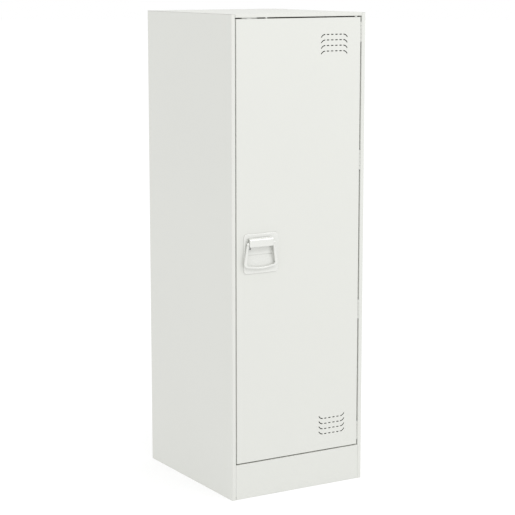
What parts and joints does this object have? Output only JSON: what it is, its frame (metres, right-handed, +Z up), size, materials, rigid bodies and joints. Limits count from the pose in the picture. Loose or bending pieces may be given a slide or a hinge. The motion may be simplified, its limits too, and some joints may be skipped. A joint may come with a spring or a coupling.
{
  "type": "locker cabinet",
  "caption": "Tall single-door steel locker cabinet on a closed plinth, with a drop handle, vented door, inner latch bar, hat shelf and coat rail.",
  "frame": {"origin": "centre of the bounding box in plan, on the floor face", "axes": "+Z up, -Y towards the door side, +X towards the hinge side"},
  "size_m": [0.39, 0.453, 1.215],
  "materials": {
    "powder_coat": "warm white fine-texture powder coat, semi-matt",
    "handle_enamel": "warm white enamel, glossier than the body",
    "zinc_plate": "bright zinc plate",
    "bright_steel": "plain bright steel",
    "white_nylon": "moulded white nylon"
  },
  "bodies": {
    "cabinet": {"side_panel_left": "powder_coat", "side_panel_right": "powder_coat", "top_panel": "powder_coat", "back_panel": "powder_coat", "floor_panel": "powder_coat", "plinth": "powder_coat", "hat_shelf": "powder_coat", "shelf_runner_left": "powder_coat", "shelf_runner_right": "powder_coat", "coat_rail": "bright_steel", "rail_socket_left": "white_nylon", "rail_socket_right": "white_nylon", "hinge_frame_leaf_1": "powder_coat", "hinge_frame_leaf_2": "powder_coat", "hinge_frame_leaf_3": "powder_coat", "hinge_frame_leaf_4": "powder_coat", "hinge_pin_1": "bright_steel", "hinge_pin_2": "bright_steel", "hinge_pin_3": "bright_steel", "hinge_pin_4": "bright_steel", "side_strike_1": "zinc_plate", "side_strike_2": "zinc_plate", "latch_keeper": "powder_coat", "rail_pad_1": "white_nylon", "rail_pad_2": "white_nylon"},
    "door": {"door_pan": "powder_coat", "door_stiffener": "powder_coat", "hinge_door_leaf_1": "powder_coat", "hinge_door_leaf_2": "powder_coat", "hinge_door_leaf_3": "powder_coat", "hinge_door_leaf_4": "powder_coat", "handle_plate": "handle_enamel", "handle_hood": "handle_enamel", "handle_nut_1": "zinc_plate", "handle_nut_2": "zinc_plate", "handle_nut_3": "zinc_plate", "handle_nut_4": "zinc_plate", "latch_guide_1": "zinc_plate", "latch_guide_2": "zinc_plate", "latch_guide_3": "zinc_plate", "spring_anchor": "zinc_plate", "latch_spring": "bright_steel"},
    "handle": {"handle_bail": "handle_enamel", "pivot_rod": "bright_steel", "latch_crank": "zinc_plate"},
    "latch": {"latch_bar": "zinc_plate", "latch_hook_1": "zinc_plate", "latch_hook_2": "zinc_plate"}
  },
  "joints": [
    {"name": "door_swing", "type": "hinge", "parent": "cabinet", "child": "door", "pos_m": [0.1823, -0.212, 0.6487], "axis": [0, 0, 1], "range_deg": [0, 120]},
    {"name": "handle_lift", "type": "hinge", "parent": "door", "child": "handle", "pos_m": [-0.1165, -0.2209, 0.653], "axis": [-1, 0, 0], "range_deg": [0, 50]},
    {"name": "latch_slide", "type": "slide", "parent": "door", "child": "latch", "axis": [0, 0, -1], "range_m": [0, 0.0136], "stiffness_N_per_m": 300, "springref_m": -0.02, "deforming": ["latch_spring"]}
  ],
  "couplings": [
    {"joint": "latch_slide", "follows": "handle_lift", "m_per_rad": 0.01547}
  ]
}
